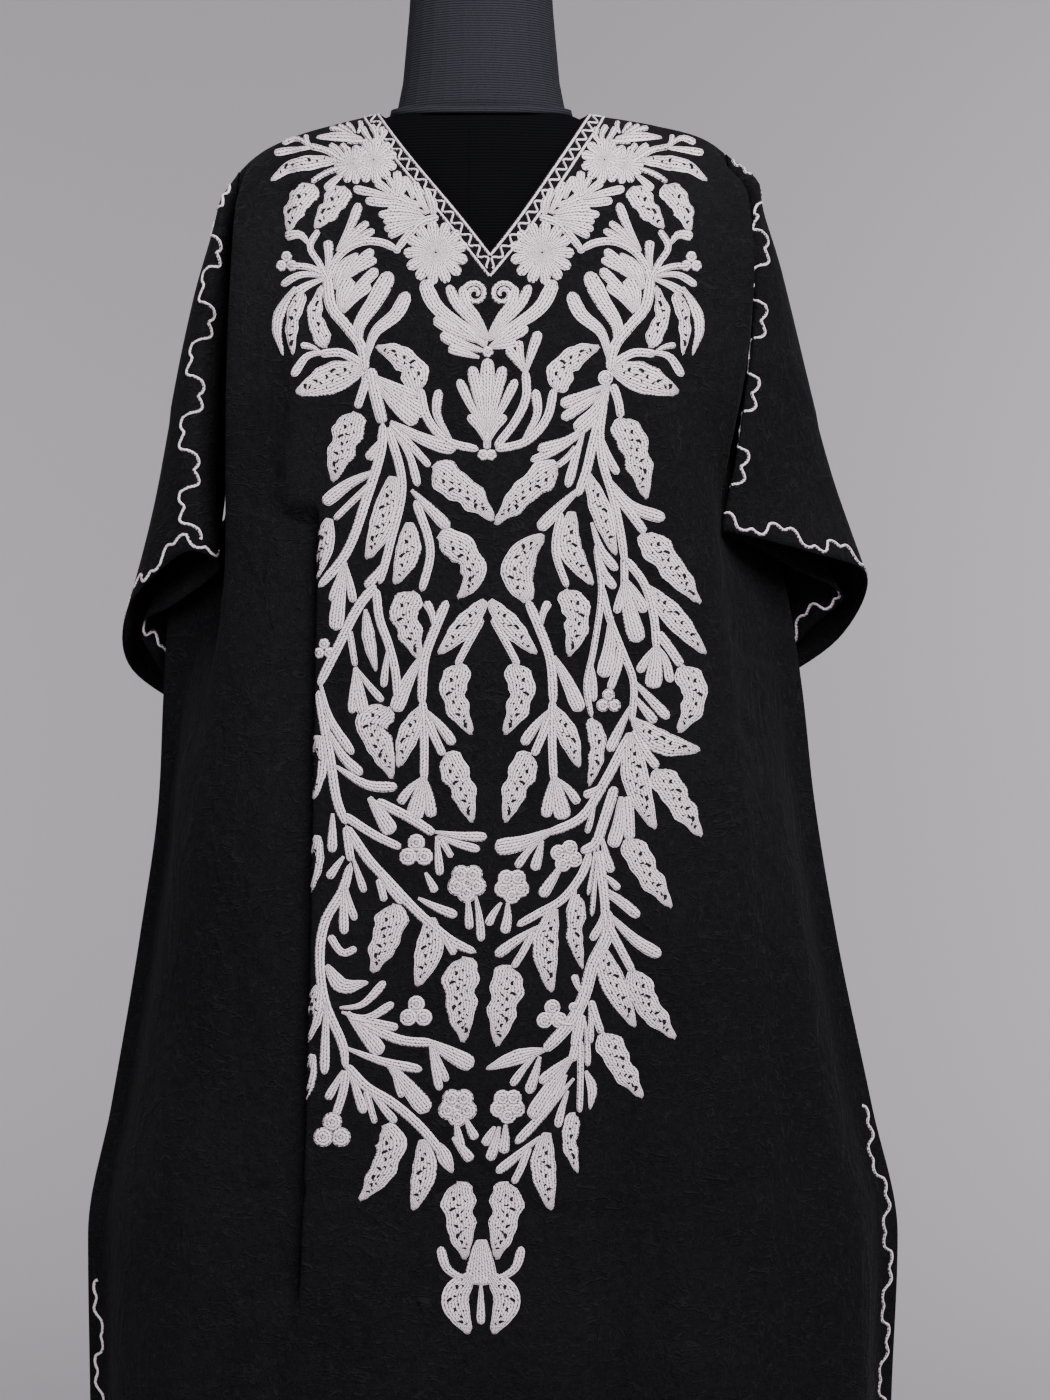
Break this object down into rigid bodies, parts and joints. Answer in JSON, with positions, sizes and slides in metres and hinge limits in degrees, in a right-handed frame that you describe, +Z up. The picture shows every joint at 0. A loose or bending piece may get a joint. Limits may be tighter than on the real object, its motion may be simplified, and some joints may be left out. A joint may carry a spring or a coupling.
{
  "type": "embroidered kaftan on a dress form",
  "caption": "Long loose V-neck kaftan with wide short sleeves and side slits, hanging on a limbless dress form with a pole and round base.",
  "frame": {"origin": "centre of the dress form's base, on the floor", "axes": "+Z up, the garment's front faces -Y, +X to the viewer's right"},
  "size_m": [0.6296, 0.33, 1.572],
  "materials": {
    "kaftan_front": "black crinkled cotton with cream chain-stitch embroidery",
    "kaftan_back": "black crinkled cotton",
    "sleeve_right": "black crinkled cotton with a cream chain-stitch line",
    "sleeve_left": "black crinkled cotton with a cream chain-stitch line",
    "form_torso": "black jersey",
    "form_neck": "black jersey",
    "form_pole": "dark satin steel",
    "form_base": "dark satin steel"
  },
  "bodies": {
    "root": {"kaftan_front": "kaftan_front", "kaftan_back": "kaftan_back", "sleeve_right": "sleeve_right", "sleeve_left": "sleeve_left", "form_torso": "form_torso", "form_neck": "form_neck", "form_pole": "form_pole", "form_base": "form_base"}
  },
  "joints": []
}
